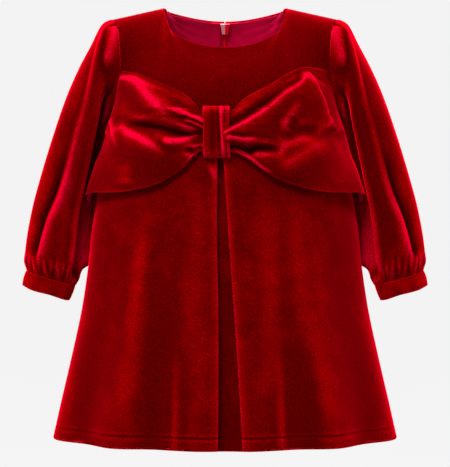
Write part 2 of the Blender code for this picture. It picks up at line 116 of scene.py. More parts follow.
# The sleeve from armhole to cuff: outer and inner line seen from the front, half depth, shift and skew
Ring = namedtuple("Ring", "along outer_x outer_z inner_x inner_z half_depth centre_y skew")
SLEEVE = [
    Ring(0.04, 0.1245, -0.0119, 0.1240, -0.1208, 0.0372, 0.000, 0.000),
    Ring(0.10, 0.1330, -0.0180, 0.1295, -0.1285, 0.0400, 0.000, 0.000),
    Ring(0.18, 0.1439, -0.0400, 0.1325, -0.1410, 0.0410, 0.000, 0.003),
    Ring(0.30, 0.1562, -0.0647, 0.1365, -0.1590, 0.0400, 0.000, 0.007),
    Ring(0.43, 0.1690, -0.0960, 0.1405, -0.1800, 0.0380, -0.001, 0.010),
    Ring(0.57, 0.1825, -0.1370, 0.1450, -0.2050, 0.0360, -0.002, 0.011),
    Ring(0.71, 0.1960, -0.1830, 0.1485, -0.2280, 0.0345, -0.004, 0.010),
    Ring(0.83, 0.2060, -0.2190, 0.1510, -0.2500, 0.0330, -0.007, 0.007),
    Ring(0.92, 0.2125, -0.2530, 0.1525, -0.2730, 0.0315, -0.010, 0.004),
    Ring(0.97, 0.2140, -0.2700, 0.1545, -0.2860, 0.0280, -0.011, 0.002),
    Ring(1.00, 0.2125, -0.2813, 0.1595, -0.2968, 0.0215, -0.012, 0.000),
]
CUFF = [
    Ring(0.0, 0.2130, -0.2822, 0.1602, -0.2978, 0.0220, -0.012, 0.000),
    Ring(0.5, 0.2148, -0.2900, 0.1632, -0.3058, 0.0222, -0.013, 0.000),
    Ring(1.0, 0.2163, -0.2985, 0.1660, -0.3140, 0.0224, -0.014, 0.000),
]

# The bow's wings: across the panel, top and bottom edge heights, and how far each stands off
Station = namedtuple("Station", "across top bottom off_top off_upper off_lower off_bottom")
WING_LEFT = [
    Station(0.050, -0.1185, -0.1580, 0.0026, 0.0060, 0.0060, 0.0026),
    Station(0.125, -0.1165, -0.1585, 0.0028, 0.0095, 0.0090, 0.0028),
    Station(0.200, -0.1025, -0.1755, 0.0034, 0.0130, 0.0120, 0.0038),
    Station(0.320, -0.0920, -0.1915, 0.0034, 0.0145, 0.0130, 0.0048),
    Station(0.450, -0.0840, -0.1982, 0.0034, 0.0135, 0.0125, 0.0055),
    Station(0.620, -0.0760, -0.2010, 0.0034, 0.0100, 0.0105, 0.0062),
    Station(0.800, -0.0728, -0.2010, 0.0034, 0.0050, 0.0085, 0.0085),
    Station(0.900, -0.0718, -0.2035, 0.0034, 0.0030, 0.0080, 0.0120),
    Station(0.955, -0.0715, -0.2040, 0.0034, 0.0025, 0.0070, 0.0125),
    Station(0.985, -0.0715, -0.2045, 0.0034, 0.0025, 0.0040, 0.0065),
]
WING_RIGHT = [
    Station(-0.020, -0.1190, -0.1590, 0.0026, 0.0060, 0.0060, 0.0026),
    Station(0.030, -0.1175, -0.1600, 0.0028, 0.0095, 0.0090, 0.0028),
    Station(0.090, -0.1062, -0.1645, 0.0034, 0.0130, 0.0120, 0.0038),
    Station(0.230, -0.0918, -0.1850, 0.0034, 0.0145, 0.0130, 0.0048),
    Station(0.400, -0.0764, -0.1970, 0.0034, 0.0135, 0.0125, 0.0055),
    Station(0.580, -0.0695, -0.2010, 0.0034, 0.0100, 0.0105, 0.0062),
    Station(0.800, -0.0700, -0.2010, 0.0034, 0.0050, 0.0085, 0.0085),
    Station(0.900, -0.0712, -0.2035, 0.0034, 0.0030, 0.0080, 0.0120),
    Station(0.955, -0.0715, -0.2040, 0.0034, 0.0025, 0.0070, 0.0125),
    Station(0.985, -0.0715, -0.2045, 0.0034, 0.0025, 0.0040, 0.0065),
]
KNOT_CENTRE_X = -0.0085
KNOT_HALF_WIDTH = 0.0134
KNOT_TOP_Z = -0.1115
KNOT_BOTTOM_Z = -0.1655
KNOT_FOOT = 0.0013
KNOT_RISE = 0.0120

# The inverted pleat: left and right fold edge, and how deep the underlay lies, from seam to hem
Pleat = namedtuple("Pleat", "z left right underlay")
PLEAT = [
    Pleat(-0.145, -0.0098, -0.0010, 0.0072),
    Pleat(-0.235, -0.0104, 0.0053, 0.0085),
    Pleat(-0.320, -0.0088, 0.0112, 0.0105),
    Pleat(-0.400, -0.0086, 0.0163, 0.0125),
    Pleat(-0.460, -0.0090, 0.0196, 0.0140),
]
PLEAT_WIDTH = 0.024
FOLD_RADIUS = 0.0021
INNER_FOLD = 0.0022

PAINTED_LIGHT_BEND = 210.0  # the bend, in turns of a radian a metre, that gets most of a ridge's painted highlight and a valley's painted shade

# Creases: a path, a height, how wide the crease is on the left and right of its path, and the share of its
# length over which each end dies away
Crease = namedtuple("Crease", "path height left right fade")

BOW_LEFT_CREASES = [
    Crease([(-.112, -.070), (-.087, -.086), (-.068, -.106), (-.055, -.119), (-.040, -.131)],
           .0065, .013, .012, (.15, .35)),
    Crease([(-.060, -.111), (-.050, -.115), (-.037, -.121), (-.022, -.128)], .0032, .004, .004, (.4, 0)),
    Crease([(-.042, -.127), (-.031, -.130), (-.022, -.135)], .0016, .002, .002, (.4, 0)),
    Crease([(-.104, -.128), (-.078, -.131), (-.062, -.134), (-.047, -.139), (-.032, -.143), (-.022, -.141)],
           -.0085, .0045, .0085, (.45, 0)),
    Crease([(-.106, -.124), (-.095, -.138), (-.078, -.149), (-.066, -.158), (-.052, -.168)],
           .0055, .008, .014, (.2, .5)),
    Crease([(-.062, -.145), (-.051, -.149), (-.037, -.146), (-.023, -.141)], .0045, .0035, .006, (.3, 0)),
    Crease([(-.040, -.156), (-.031, -.158), (-.024, -.156)], -.0035, .0020, .0035, (.4, 0)),
    Crease([(-.025, -.158), (-.030, -.164), (-.038, -.174)], .0025, .003, .0025, (.1, .5)),
    Crease([(-.115, -.120), (-.108, -.136), (-.103, -.160)], .0032, .006, .0030, (.1, .6)),
    Crease([(-.121, -.132), (-.124, -.150), (-.126, -.172)], -.0022, .009, .007, (.2, .5)),
    Crease([(-.094, -.164), (-.097, -.182), (-.099, -.198)], .0018, .008, .008, (.5, .3)),
]
BOW_RIGHT_CREASES = [
    Crease([(.000, -.141), (.019, -.130), (.037, -.117), (.057, -.100), (.073, -.088), (.079, -.074)],
           .0060, .0022, .018, (0, .1)),
    Crease([(.004, -.131), (.020, -.121), (.038, -.108), (.052, -.096)], -.0030, .006, .004, (0, .4)),
    Crease([(.081, -.073), (.088, -.090), (.096, -.105), (.101, -.123), (.109, -.135)],
           .0048, .0022, .014, (.1, .15)),
    Crease([(.075, -.104), (.066, -.115), (.058, -.128), (.054, -.144)], .0022, .007, .007, (.35, .35)),
    Crease([(.069, -.124), (.061, -.138)], -.0018, .006, .005, (.4, .3)),
    Crease([(.104, -.147), (.082, -.159), (.064, -.172), (.050, -.186)], .0048, .013, .010, (.3, .3)),
    Crease([(.092, -.136), (.072, -.138), (.052, -.148)], -.0030, .008, .006, (.3, .3)),
    Crease([(.008, -.154), (.022, -.159), (.032, -.156), (.045, -.157), (.056, -.161)],
           -.0045, .004, .005, (0, .4)),
    Crease([(.008, -.160), (.019, -.164), (.028, -.171), (.036, -.178), (.050, -.184)],
           .0026, .003, .0035, (.1, .4)),
    Crease([(.004, -.147), (.018, -.149), (.034, -.147)], .0030, .0035, .004, (0, .5)),
    Crease([(.112, -.134), (.122, -.156), (.128, -.180)], -.0020, .008, .008, (.2, .5)),
]

# Painted light marks on the velvet: painted highlights (above 0) and painted shade (below 0), with paths as
# for the creases
BOW_LEFT_PAINTED_LIGHT = [
    Crease([(-.106, -.071), (-.087, -.086), (-.068, -.108), (-.057, -.117), (-.043, -.130)],
           .56, .0050, .0048, (.25, .4)),
    Crease([(-.060, -.111), (-.037, -.121), (-.022, -.127)], .40, .0022, .0025, (.5, .1)),
    Crease([(-.100, -.076), (-.080, -.083), (-.055, -.096)], .10, .005, .005, (.3, .5)),
    Crease([(-.104, -.127), (-.095, -.138), (-.078, -.148), (-.066, -.158), (-.055, -.165)],
           .42, .0038, .0042, (.30, .4)),
    Crease([(-.067, -.142), (-.053, -.148), (-.037, -.146), (-.024, -.141)], .50, .0030, .0030, (.3, .1)),
    Crease([(-.098, -.131), (-.078, -.132), (-.062, -.134), (-.047, -.139), (-.032, -.143), (-.022, -.141)],
           -.55, .0030, .0025, (.35, 0)),
    Crease([(-.112, -.124), (-.107, -.140), (-.103, -.158)], .25, .0020, .0020, (.1, .6)),
    Crease([(-.080, -.120), (-.060, -.130), (-.040, -.136)], -.25, .006, .006, (.4, .2)),
    Crease([(-.117, -.135), (-.127, -.165), (-.135, -.200)], -.06, .014, .016, (.2, 0)),
    Crease([(-.112, -.108), (-.098, -.116), (-.080, -.120)], .16, .006, .006, (.3, .4)),
    Crease([(-.105, -.090), (-.112, -.110)], .14, .005, .005, (.3, .4)),
    Crease([(-.090, -.180), (-.060, -.182), (-.040, -.170)], -.24, .014, .012, (.2, .4)),
]
BOW_RIGHT_PAINTED_LIGHT = [
    Crease([(.000, -.140), (.019, -.130), (.037, -.117), (.057, -.100), (.073, -.088), (.079, -.074)],
           .38, .0012, .0030, (0, .1)),
    Crease([(.004, -.134), (.022, -.123), (.040, -.110), (.060, -.092)], -.50, .0040, .0030, (0, .3)),
    Crease([(.081, -.073), (.088, -.090), (.096, -.105), (.101, -.123), (.109, -.135)],
           .30, .0012, .0030, (.1, .2)),
    Crease([(.085, -.076), (.092, -.091), (.100, -.105), (.105, -.122)], -.45, .0030, .0024, (.1, .2)),
    Crease([(.073, -.107), (.066, -.115), (.058, -.128), (.054, -.142)], .24, .0045, .0040, (.3, .3)),
    Crease([(.066, -.131), (.061, -.139)], -.20, .004, .004, (.2, .2)),
    Crease([(.092, -.145), (.070, -.148), (.056, -.156), (.053, -.176)], .55, .0060, .0050, (.3, .3)),
    Crease([(.010, -.153), (.022, -.158), (.032, -.156), (.045, -.156), (.054, -.160)],
           -.55, .0025, .0030, (.1, .4)),
    Crease([(.010, -.160), (.019, -.164), (.028, -.171), (.036, -.177), (.050, -.183)],
           .45, .0022, .0022, (.2, .4)),
    Crease([(.006, -.147), (.020, -.149), (.034, -.147)], .25, .002, .002, (.1, .5)),
    Crease([(.112, -.136), (.118, -.160), (.124, -.192)], .12, .010, .010, (.2, .2)),
    Crease([(.100, -.175), (.080, -.188), (.060, -.190)], -.20, .010, .010, (.2, .4)),
    Crease([(.040, -.130), (.060, -.118), (.070, -.100)], -.12, .010, .010, (.3, .3)),
]
SKIRT_PAINTED_LIGHT = [
    Crease([(-.078, -.205), (-.088, -.280), (-.095, -.361), (-.107, -.445)], .17, .0100, .0085, (.25, .15)),
    Crease([(.074, -.205), (.078, -.290), (.093, -.361), (.112, -.445)], .24, .0100, .0120, (.20, .15)),
    Crease([(-.026, -.180), (-.026, -.300), (-.022, -.440)], .14, .0110, .0110, (.2, .2)),
    Crease([(.036, -.190), (.046, -.320), (.050, -.440)], .17, .0150, .0150, (.2, .2)),
    Crease([(-.062, -.300), (-.070, -.380), (-.074, -.450)], -.14, .0130, .0130, (.4, 0)),
    Crease([(.076, -.320), (.084, -.380), (.090, -.450)], -.14, .0120, .0120, (.4, 0)),
    Crease([(-.128, -.300), (-.142, -.380), (-.152, -.450)], -.10, .0120, .0120, (.4, 0)),
    Crease([(.130, -.300), (.144, -.380), (.154, -.450)], -.10, .0120, .0120, (.4, 0)),
    Crease([(-.022, -.165), (-.014, -.176), (-.010, -.192)], .30, .0022, .0026, (.2, .5)),
    Crease([(-.049, -.350), (-.0502, -.410), (-.051, -.462)], .16, .0035, .0020, (.7, 0)),
    Crease([(.054, -.350), (.0568, -.410), (.058, -.462)], .16, .0020, .0035, (.7, 0)),
]
# On a sleeve a path runs in (share along, degrees round from the outer line through the front)
SLEEVE_RIDGE = [(.02, 26), (.07, 38), (.14, 66), (.27, 92), (.45, 102), (.63, 107), (.78, 96), (.92, 79),
                (.98, 68)]
SLEEVE_PAINTED_LIGHT = [
    Crease(SLEEVE_RIDGE,
           .06, .0030, .0045, (.05, .1)),
    Crease([(.36, 66), (.65, 70), (.88, 56)], -.12, .0110, .0090, (.3, .1)),
    Crease([(.50, 92), (.68, 92), (.84, 72), (.97, 50)], -.35, .0050, .0040, (.4, .1)),
    Crease([(.04, 104), (.12, 124), (.3, 136), (.55, 142), (.75, 142), (.92, 138)],
           .06, .0040, .0020, (.2, .2)),
    Crease([(.012, 44), (.030, 58), (.045, 76), (.060, 92)], .12, .0060, .0060, (.1, .3)),
    Crease([(.00, 20), (.02, 32), (.045, 41)], -.80, .0018, .0018, (0, .3)),
    Crease([(.08, 142), (.30, 164), (.60, 158), (.75, 154), (.95, 150)], -.40, .0050, .0070, (.2, 0)),
    Crease([(.45, 196), (.62, 194), (.75, 190), (.90, 184), (.98, 178)], .50, .0140, .0170, (.3, .1)),
]
# A painted highlight on the left sleeve's front
SLEEVE_LEFT_PAINTED_HIGHLIGHT = [
    Crease([(.06, 86), (.18, 108), (.46, 121), (.70, 120), (.85, 122), (.95, 112)],
           .38, .0090, .0080, (.15, .2)),
]
# Painted shade on the right sleeve's front
SLEEVE_RIGHT_PAINTED_SHADE = [
    Crease([(.06, 60), (.18, 82), (.46, 104), (.70, 106), (.85, 96), (.95, 80)],
           -.22, .0080, .0100, (.15, .2)),
]
SKIRT_CREASES = [
    Crease([(-.049, -.350), (-.0502, -.410), (-.051, -.462)], .0014, .006, .0035, (.8, 0)),
    Crease([(.054, -.350), (.0568, -.410), (.058, -.462)], .0014, .0035, .006, (.8, 0)),
    Crease([(-.018, -.175), (-.012, -.181), (-.010, -.190)], .0016, .002, .003, (.1, .5)),
    Crease([(-.084, -.225), (-.086, -.270), (-.095, -.361)], .0020, .009, .011, (.5, .5)),
    Crease([(.092, -.225), (.094, -.270), (.103, -.361)], .0020, .011, .009, (.5, .5)),
    Crease([(-.034, -.200), (-.036, -.300), (-.034, -.400)], .0014, .010, .010, (.5, .5)),
    Crease([(.044, -.200), (.046, -.300), (.046, -.400)], .0014, .010, .010, (.5, .5)),
]
SLEEVE_CREASES = [
    Crease(SLEEVE_RIDGE,
           .0050, .0050, .010, (.1, .1)),
    Crease([(.50, 92), (.68, 92), (.84, 74), (.97, 52)], -.0055, .010, .005, (.4, .1)),
    Crease([(.01, 116), (.08, 130), (.16, 146), (.30, 158), (.50, 165), (.70, 166), (.84, 164), (.92, 160),
            (1.0, 152)],
           -.0160, .0055, .0115, (.12, .05)),
    Crease([(.02, 98), (.08, 112), (.16, 129), (.33, 138), (.54, 143), (.70, 143), (.83, 143), (.92, 139),
            (.99, 134)],
           .0030, .006, .004, (.15, .1)),
    Crease([(.05, 190), (.17, 196), (.30, 200)], .0130, .009, .011, (.20, .30)),
    Crease([(.20, 190), (.36, 197), (.52, 202)], .0080, .010, .010, (.25, .25)),
    Crease([(.14, 212), (.30, 216), (.50, 220), (.80, 222), (.97, 210)], .0140, .015, .015, (.12, .08)),
    Crease([(.00, 20), (.02, 32), (.05, 42)], -.0050, .0022, .0022, (0, .4)),
    Crease([(.010, 42), (.030, 58), (.040, 78), (.060, 96)], .0060, .008, .008, (.1, .3)),
    Crease([(.08, 345), (.30, 330), (.60, 322), (.95, 330)], .0035, .008, .008, (.3, .2)),
    Crease([(.15, 300), (.45, 282), (.75, 290), (.97, 300)], -.0055, .008, .006, (.3, .1)),
    Crease([(.10, 262), (.40, 254), (.70, 256), (.96, 254)], .0030, .008, .008, (.3, .1)),
    Crease([(.00, 338), (.05, 326), (.10, 316)], -.0030, .0030, .0030, (0, .5)),
]
# The gathers at the cuff: degrees round at the cuff and at the gather's start, share along there, and height
Gather = namedtuple("Gather", "turn start_turn start height")
GATHERS = [
    Gather(12, 4, 0.9380, 0.0020),
    Gather(30, 26, 0.9566, 0.0028),
    Gather(47, 50, 0.9380, -0.0030),
    Gather(60, 60, 0.9628, 0.0026),
    Gather(73, 78, 0.9318, -0.0030),
    Gather(86, 84, 0.9504, 0.0026),
    Gather(99, 104, 0.9256, -0.0028),
    Gather(112, 110, 0.9566, 0.0022),
    Gather(124, 128, 0.9380, -0.0024),
    Gather(140, 140, 0.9566, 0.0020),
    Gather(160, 156, 0.9442, -0.0024),
    Gather(182, 184, 0.9380, 0.0024),
    Gather(205, 200, 0.9256, -0.0026),
    Gather(222, 226, 0.9442, 0.0024),
    Gather(240, 238, 0.9380, -0.0026),
    Gather(258, 262, 0.9504, 0.0024),
    Gather(276, 272, 0.9318, -0.0028),
    Gather(294, 298, 0.9504, 0.0024),
    Gather(312, 308, 0.9380, -0.0026),
    Gather(334, 338, 0.9442, 0.0024),
]


def through(rows, column, at):
    """A smooth curve through one column of a table, against the table's first column."""
    xs = np.array([row[0] for row in rows])
    ys = np.array([getattr(row, column) for row in rows])
    if xs[0] > xs[-1]:
        xs, ys = xs[::-1], ys[::-1]
    step = np.diff(xs)
    slope = np.diff(ys) / step
    inner = np.where(slope[1:] * slope[:-1] > 0, (slope[1:] + slope[:-1]) / 2, 0.0)
    tangent = np.concatenate([[slope[0]], inner, [slope[-1]]])
    at = np.clip(at, xs[0], xs[-1])
    k = np.clip(np.searchsorted(xs, at) - 1, 0, len(step) - 1)
    t = (at - xs[k]) / step[k]
    start = (1 + 2 * t) * (1 - t) ** 2 * ys[k] + t * (1 - t) ** 2 * step[k] * tangent[k]
    end = t**2 * (3 - 2 * t) * ys[k + 1] + t**2 * (t - 1) * step[k] * tangent[k + 1]
    return start + end


def bump(distance, width):
    """A soft hump, 1 at its middle: e to the power of minus the distance over the width, squared."""
    return np.exp(-((distance / width) ** 2))


def smooth(t):
    """An S-curve from 0 to 1: 3t squared less 2t cubed."""
    t = np.clip(t, 0, 1)
    return t * t * (3 - 2 * t)


def unit(v):
    return v / np.maximum(np.linalg.norm(v, axis=-1, keepdims=True), 1e-12)


def rounded_path(points, count):
    """A path rounded through its points, each coordinate a smooth curve against the distance travelled."""
    points = np.array(points, float)
    travelled = np.concatenate([[0], np.cumsum(np.hypot(*np.diff(points, axis=0).T))])
    at = np.linspace(0, travelled[-1], count)
    Row = namedtuple("Row", "s u v")
    rows = [Row(s, *p) for s, p in zip(travelled, points)]
    return np.stack([through(rows, "u", at), through(rows, "v", at)], axis=-1)


def crease_height(u, v, creases):
    """Height of all the creases at points (u, v).

    Each is its height times a soft hump of the distance to the nearest place on its path, with one width on
    the left of the path and another on the right, times an S-curve that dies away at each end.
    """
    total = np.zeros(np.shape(u))
    point = np.stack([u, v], axis=-1)[..., None, :]
    for crease in creases:
        path = rounded_path(crease.path, 28)
        start, step = path[:-1], np.diff(path, axis=0)
        to = point - start
        share = np.clip((to * step).sum(-1) / (step**2).sum(-1), 0, 1)
        away = to - share[..., None] * step
        distance = np.hypot(away[..., 0], away[..., 1])
        near = distance.argmin(-1)[..., None]
        side = np.take_along_axis(step[:, 0] * to[..., 1] - step[:, 1] * to[..., 0], near, -1)[..., 0]
        travelled = (near[..., 0] + np.take_along_axis(share, near, -1)[..., 0]) / len(step)
        nearest = np.take_along_axis(distance, near, -1)[..., 0]
        on_left = smooth(0.5 + side / (0.0016 * np.hypot(*step[0])))
        width = crease.right + (crease.left - crease.right) * on_left
        ends = 1.0
        if crease.fade[0]:
            ends = ends * smooth(travelled / crease.fade[0])
        if crease.fade[1]:
            ends = ends * smooth((1 - travelled) / crease.fade[1])
        total = total + crease.height * bump(nearest, width) * ends
    return total


def down_to_z(down):
    """Height of a row below the underarm."""
    return UNDERARM_Z + (down - 1) * (HEM_Z - UNDERARM_Z)


def z_to_down(z):
    """Row below the underarm at a height."""
    return 1 + (z - UNDERARM_Z) / (HEM_Z - UNDERARM_Z)


def section_point(face, across, z):
    """A point of the skirt: an ellipse's arc with the soft folds added along its normal."""
    angle = across * math.pi / 2
    fold = np.zeros(np.broadcast(across, z).shape)
    for f in FOLDS:
        if f.face == face.name:
            fall = np.clip((f.start_z - z) / (f.start_z - HEM_Z), 0, 1) ** 1.4
            fold = fold + f.height * fall * bump(np.abs(across) * 90 - f.at, f.width)
    x = (through(SECTIONS, "half_width", z) + fold) * np.sin(angle)
    depth = (through(SECTIONS, face.name, z) + fold) * np.cos(angle)
    return np.stack(np.broadcast_arrays(x, face.sign * depth, z), axis=-1)


def top_edge(face, across):
    """The neckline's arc and then the straight shoulder seam."""
    side = np.abs(across)
    turn = np.clip(side / NECK_SHARE, 0, 1) * math.pi / 2
    seam = np.clip((side - NECK_SHARE) / (1 - NECK_SHARE), 0, 1)
    x = NECK_HALF * np.sin(turn) + seam * (SHOULDER_END[0] - NECK_HALF)
    z = seam * SHOULDER_END[1] - face.neck_drop * np.cos(turn) ** face.neck_power
    depth = face.neck_depth * np.cos(turn) + SHOULDER_GAP
    return np.stack([np.sign(across) * x, face.sign * depth, z], axis=-1)


def panel_point(face, across, down):
    """A point of the dress, the change from bodice to skirt eased by a mean of three nearby rows."""
    down = np.asarray(down, float)
    ease = 0.055 * bump(down - 1, 0.07)
    above, below = (columns_point(face, across, down + step) for step in (-ease, ease))
    return (above + 2 * columns_point(face, across, down) + below) / 4


def columns_point(face, across, down):
    """A point of the dress: Bezier columns from top edge to underarm, skirt sections below it.

    The corner where neckline meets shoulder seam is eased away below the edge by a mean over nearby columns.
    """
    across, down = np.broadcast_arrays(np.asarray(across, float), np.asarray(down, float))
    side = np.abs(across)
    seam = np.clip((side - NECK_SHARE) / (1 - NECK_SHARE), 0, 1)
    neck = 1 - smooth((side - 0.12) / 0.30)
    reach = 0.11 * smooth(down / 0.30) * bump(side - NECK_SHARE, 0.16)
    top = sum(top_edge(face, across + k * reach) for k in (-1, -0.5, 0, 0.5, 1)) / 5
    low = section_point(face, across, np.full(across.shape, UNDERARM_Z))
    out_top = neck * face.neck_out + (1 - neck) * 0.031 + (ARMHOLE_BOW - 0.031) * seam**2
    out_low = 0.002 + (ARMHOLE_BOW - 0.003) * side**4
    rise = 0.016 + 0.029 * (1 - side**6)
    tuck = -ARMHOLE_TUCK / SHOULDER_END[0]
    upper = top + np.stack([tuck * top[..., 0], face.sign * out_top, -neck * face.neck_fall], axis=-1)
    lower = low + np.stack([tuck * low[..., 0], face.sign * out_low, rise], axis=-1)
    t = np.clip(down, 0, 1)[..., None]
    bodice = (1 - t) ** 3 * top + 3 * (1 - t) ** 2 * t * upper
    bodice = bodice + 3 * (1 - t) * t**2 * lower + t**3 * low
    skirt = section_point(face, across, down_to_z(np.clip(down, 1, 2)))
    return np.where((down > 1)[..., None], skirt, bodice)


def panel_normal(face, across, down):
    """The outward direction of the dress at a point, from its slopes."""
    step = 0.004
    right = panel_point(face, across + step, down) - panel_point(face, across - step, down)
    fall = panel_point(face, across, np.minimum(down + step, 2))
    fall = fall - panel_point(face, across, np.maximum(down - step, 0))
    return unit(np.cross(fall, right) * -face.sign)


def moved_out(face, across, down, distance):
    """Points of the dress moved out from it, or in where the distance is negative."""
    distance = np.asarray(distance)[..., None]
    return panel_point(face, across, down) + panel_normal(face, across, down) * distance


def down_at(face, across, z):
    """The row at which a column of the dress passes a height, read off 401 rows of 121 columns."""
    rows = np.linspace(0, 2, 401)
    columns = np.linspace(across.min(), across.max(), 121)
    heights = panel_point(face, columns[:, None], rows[None, :])[..., 2]
    place = np.interp(across, columns, np.arange(121.0))
    low = np.clip(place.astype(int), 0, 119)
    part = (place - low)[..., None]
    column = heights[low] * (1 - part) + heights[low + 1] * part
    below = np.clip((column > z[..., None]).sum(-1), 1, 400)[..., None]
    above_z = np.take_along_axis(column, below - 1, -1)[..., 0]
    below_z = np.take_along_axis(column, below, -1)[..., 0]
    share = np.clip((above_z - z) / np.maximum(above_z - below_z, 1e-9), 0, 1)
    return rows[below[..., 0] - 1] + share * (rows[1] - rows[0])


def outward(grid, closed=False):
    """The outward normal of a grid: its slope down crossed with its slope along."""
    if closed:
        grid = np.concatenate([grid[:, -1:], grid, grid[:, :1]], axis=1)
    normal = unit(np.cross(np.gradient(grid, axis=0), np.gradient(grid, axis=1)))
    return normal[:, 1:-1] if closed else normal


def painted_bend_light(grid, closed=False):
    """Painted light from the bends: painted shade down to -1 in a tight valley, a painted highlight up to 1
    on a tight ridge.

    The bend along each direction of the grid is twice the sum of the unit steps to both neighbours, against
    the normal, over the two steps' length. The two are added, blurred and put through a hyperbolic tangent.
    """
    normal = outward(grid, closed)
    total = np.zeros(grid.shape[:2])
    for axis in (0, 1):
        before, after = np.roll(grid, 1, axis) - grid, np.roll(grid, -1, axis) - grid
        one = np.maximum(np.linalg.norm(before, axis=-1), 1e-6)
        two = np.maximum(np.linalg.norm(after, axis=-1), 1e-6)
        bend = -2 * ((before / one[..., None] + after / two[..., None]) * normal).sum(-1) / (one + two)
        if axis == 0:
            bend[[0, -1]] = 0
        elif not closed:
            bend[:, [0, -1]] = 0
        total = total + np.clip(bend, -500, 500) * (1 - 0.80 * smooth((np.abs(bend) - 260) / 240))
    for _ in range(3):
        for axis in (0, 1):
            total = (np.roll(total, 1, axis) + 2 * total + np.roll(total, -1, axis)) / 4
    return np.tanh(total / PAINTED_LIGHT_BEND)


def turned_under(grid, radius, depth, closed=False):
    """Turns the last row of a grid under: half a circle about a centre one radius in, and a flat turning.

    The radius and the depth of the turning may be one number or one for each column. It adds ten rows.
    """
    radius = np.broadcast_to(np.asarray(radius, float), grid.shape[1:2])[:, None]
    depth = np.broadcast_to(np.asarray(depth, float), grid.shape[1:2])[:, None]
    normal = outward(grid, closed)[-1]
    ahead = unit(grid[-1] - grid[-2])
    flat = grid[-1] - ahead * radius
    angle = np.linspace(0, math.pi, 8)[1:, None, None]
    roll = flat - normal * radius + radius * (normal * np.cos(angle) + ahead * np.sin(angle))
    back = np.linspace(0, 1, 4)[1:, None, None] * depth
    turning = flat - 2 * normal * radius - ahead * back
    keep = grid[:-1]
    spare = ((keep[-1] - flat) * ahead).sum(-1, keepdims=True)
    keep = np.concatenate([keep[:-1], (keep[-1] - ahead * np.maximum(spare + radius * 0.3, 0))[None]])
    return np.concatenate([keep, flat[None], roll, turning])


def turned_at_top(grid, radius, depth, closed=False):
    """Turns the first row of a grid under."""
    radius, depth = (v[::-1] if np.ndim(v) else v for v in (radius, depth))
    return turned_under(grid[::-1, ::-1], radius, depth, closed)[::-1, ::-1]


def turned_at_side(grid, radius, depth, last):
    """Turns the first or last column of a grid under."""
    across = np.swapaxes(grid, 0, 1)
    turn = turned_under if last else turned_at_top
    return np.swapaxes(turn(across[:, ::-1], radius, depth)[:, ::-1], 0, 1)


def with_edges(values, rows, before=0):
    """Repeats the first and last row of a grid of values, for the rows that the turned edges have added."""
    after = rows - len(values) - before
    return np.concatenate([values[:1]] * before + [values] + [values[-1:]] * after)


# Materials

def new_material(name):
    made = bpy.data.materials.new(name)
    made.use_nodes = True
    nodes = made.node_tree.nodes
    return made, nodes, made.node_tree.links, nodes["Principled BSDF"]


def noise(nodes, links, where, scale, detail=3.0, roughness=0.6):
    made = nodes.new("ShaderNodeTexNoise")
    made.inputs["Scale"].default_value = scale
    made.inputs["Detail"].default_value = detail
    made.inputs["Roughness"].default_value = roughness
    links.new(where, made.inputs["Vector"])
    return made.outputs["Fac"]


def ramp(nodes, links, source, stops):
    made = nodes.new("ShaderNodeValToRGB")
    for i, (at, colour) in enumerate(stops):
        stop = made.color_ramp.elements[i] if i < 2 else made.color_ramp.elements.new(at)
        stop.position, stop.color = at, (*colour, 1)
    links.new(source, made.inputs["Fac"])
    return made.outputs["Color"]


def bumps(nodes, links, heights, shader):
    """Stacks bump layers, each a height, a depth in metres and a strength."""
    before = None
    for height, distance, strength in heights:
        made = nodes.new("ShaderNodeBump")
        made.inputs["Distance"].default_value = distance
        made.inputs["Strength"].default_value = strength
        links.new(height, made.inputs["Height"])
        if before:
            links.new(before, made.inputs["Normal"])
        before = made.outputs["Normal"]
    links.new(before, shader.inputs["Normal"])


def velvet():
    """Red velvet: its base colour is painted light, painted shade in valleys and painted highlights on ridges
    and along painted marks, read from each point over a random mottle, with a sheen and a fine fleck.
    """
    made, nodes, links, shader = new_material("red_velvet")
    where = nodes.new("ShaderNodeTexCoord").outputs["Object"]
    nap = noise(nodes, links, where, 660, 4, 0.8)
    mottle_and_painted_marks = noise(nodes, links, where, 45, 4)
    painted_light = nodes.new("ShaderNodeAttribute")
    painted_light.attribute_name = "painted_light"
    brush = nodes.new("ShaderNodeMath")
    brush.operation = "MULTIPLY_ADD"
    links.new(mottle_and_painted_marks, brush.inputs[0])
    brush.inputs[1].default_value = 0.22
    brush.inputs[2].default_value = 0.39
    painted_light_level = nodes.new("ShaderNodeMath")
    painted_light_level.operation = "MULTIPLY_ADD"
    links.new(painted_light.outputs["Fac"], painted_light_level.inputs[0])
    painted_light_level.inputs[1].default_value = 0.5
    links.new(brush.outputs["Value"], painted_light_level.inputs[2])
    # The ramp turns the painted light level into colour: near black for painted shade, bright red for painted
    # highlights.
    colour = ramp(nodes, links, painted_light_level.outputs["Value"], [
        (0.0, (0.008, 0.0, 0.0)), (0.50, (0.055, 0.0, 0.0)), (0.68, (0.14, 0.0, 0.0)),
        (1.0, (0.41, 0.0, 0.014))])
    fleck = ramp(nodes, links, nap, [(0.36, (0.42, 0.42, 0.42)), (0.64, (1.6, 1.6, 1.6))])
    mix = nodes.new("ShaderNodeMix")
    mix.data_type, mix.blend_type = "RGBA", "MULTIPLY"
    mix.inputs["Factor"].default_value = 1.0
    links.new(colour, mix.inputs["A"])
    links.new(fleck, mix.inputs["B"])
    links.new(mix.outputs["Result"], shader.inputs["Base Color"])
    shader.inputs["Roughness"].default_value = 1.0
    shader.inputs["Specular IOR Level"].default_value = 0.0
    shader.inputs["Sheen Weight"].default_value = 1.0
    shader.inputs["Sheen Roughness"].default_value = 0.40
    shader.inputs["Sheen Tint"].default_value = (0.95, 0.0, 0.015, 1)
    bumps(nodes, links, [(nap, 0.0004, 0.35), (mottle_and_painted_marks, 0.002, 0.10)], shader)
    return made


